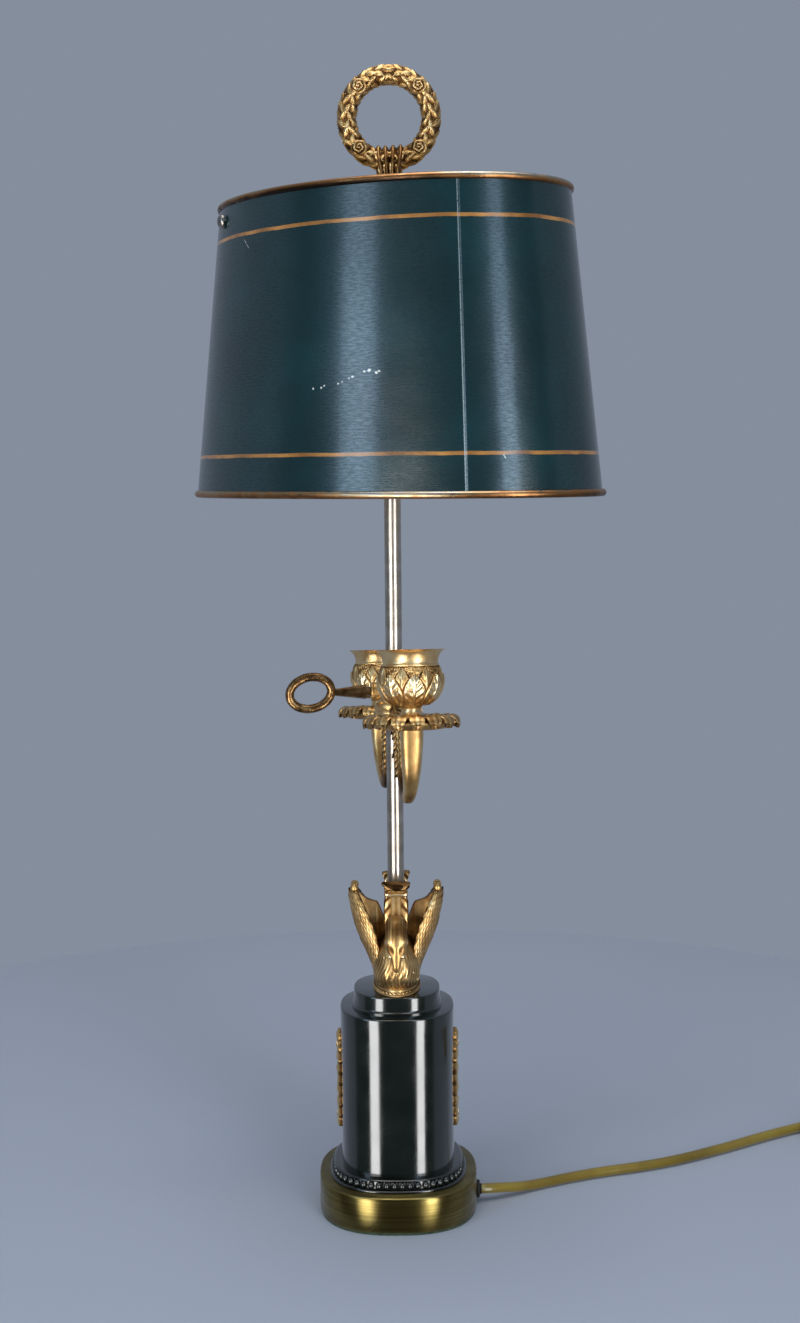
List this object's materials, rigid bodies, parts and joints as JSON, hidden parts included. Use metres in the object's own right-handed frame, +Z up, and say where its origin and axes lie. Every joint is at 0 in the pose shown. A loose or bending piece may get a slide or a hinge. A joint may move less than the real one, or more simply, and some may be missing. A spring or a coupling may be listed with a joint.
{
  "type": "bouillotte lamp",
  "caption": "Bouillotte table lamp: oval painted-tin shade, sliding candle arms clamped by a ring key, swan group, lacquered column and brass drum base with cord.",
  "frame": {"origin": "on the table under the stem's axis, at the middle of the baize pad's underside", "axes": "+Z up along the stem, -Y towards the front swan and the pictured side, +X towards the cord's exit"},
  "size_m": [0.4687, 0.2254, 0.6523],
  "materials": {
    "baize": "woven wool baize",
    "cast_iron": "raw casting",
    "antique_brass": "brushed and aged",
    "black_lacquer": "gloss lacquer",
    "green_lacquer": "gloss lacquer",
    "gilt_brass": "cast, chased and gilt",
    "turned_brass": "turned",
    "zinc_steel": "plated",
    "nickel_tube": "nickel plated, polished",
    "cord_gold": "translucent gold sheath",
    "plug_gold": "moulded gold",
    "cap_metal": "nickel plated",
    "opal_glass": "opal",
    "black_rubber": "moulded",
    "black_plastic": "moulded",
    "painted_tin": "gloss enamel",
    "copper_rim": "worn gilt paint on rolled wire"
  },
  "bodies": {
    "base": {"felt_pad": "baize", "base_weight": "cast_iron", "base_drum": "antique_brass", "gadroon_ring": "black_lacquer", "column": "green_lacquer", "column_step": "green_lacquer", "side_mount_left": "gilt_brass", "side_mount_right": "gilt_brass", "side_mount_pins": "gilt_brass", "stem_washer": "zinc_steel", "stem_nut": "zinc_steel", "stem_tube": "nickel_tube", "inner_lead": "cord_gold", "swan_plinth": "gilt_brass", "swan_front": "gilt_brass", "swan_back": "gilt_brass", "cluster": "turned_brass", "holder_left": "turned_brass", "holder_right": "turned_brass", "bulb_caps": "cap_metal", "bulb_globes": "opal_glass", "shade_rod": "turned_brass", "shade_rest_nut": "turned_brass", "cord_bushing": "black_rubber", "power_cord": "cord_gold", "cord_coil": "cord_gold", "plug_body": "plug_gold", "plug_pins": "cap_metal"},
    "arm_slider": {"arm_sleeve": "turned_brass"},
    "arms": {"arm_casting": "gilt_brass", "pan_front": "gilt_brass", "pan_back": "gilt_brass", "cup_front": "gilt_brass", "cup_back": "gilt_brass", "cup_screws": "turned_brass"},
    "key": {"clamp_key": "antique_brass"},
    "shade": {"shade_bar": "turned_brass", "shade_shell": "painted_tin", "shade_top_rim": "copper_rim", "shade_bottom_rim": "copper_rim", "shade_screws": "zinc_steel"},
    "finial": {"wreath_finial": "gilt_brass"},
    "knob_left": {"holder_knob_left": "black_plastic"},
    "knob_right": {"holder_knob_right": "black_plastic"}
  },
  "joints": [
    {"name": "arm_slide", "type": "slide", "parent": "base", "child": "arm_slider", "axis": [0, 0, 1], "range_m": [-0.045, 0.074]},
    {"name": "arm_swing", "type": "hinge", "parent": "arm_slider", "child": "arms", "pos_m": [0, 0, 0.3048], "axis": [0, 0, 1], "continuous": true},
    {"name": "key_turn", "type": "hinge", "parent": "arms", "child": "key", "pos_m": [0, 0, 0.3048], "axis": [-0.993, -0.1184, 0], "range_deg": [-720, 0]},
    {"name": "shade_turn", "type": "hinge", "parent": "base", "child": "shade", "pos_m": [0, 0, 0.5725], "axis": [0, 0, 1], "continuous": true},
    {"name": "finial_turn", "type": "hinge", "parent": "base", "child": "finial", "pos_m": [0, 0, 0.58], "axis": [0, 0, 1], "range_deg": [0, 1080]},
    {"name": "switch_left", "type": "hinge", "parent": "base", "child": "knob_left", "pos_m": [-0.038, 0, 0.46], "axis": [0, 1, 0], "continuous": true},
    {"name": "switch_right", "type": "hinge", "parent": "base", "child": "knob_right", "pos_m": [0.038, 0, 0.46], "axis": [0, -1, 0], "continuous": true}
  ]
}
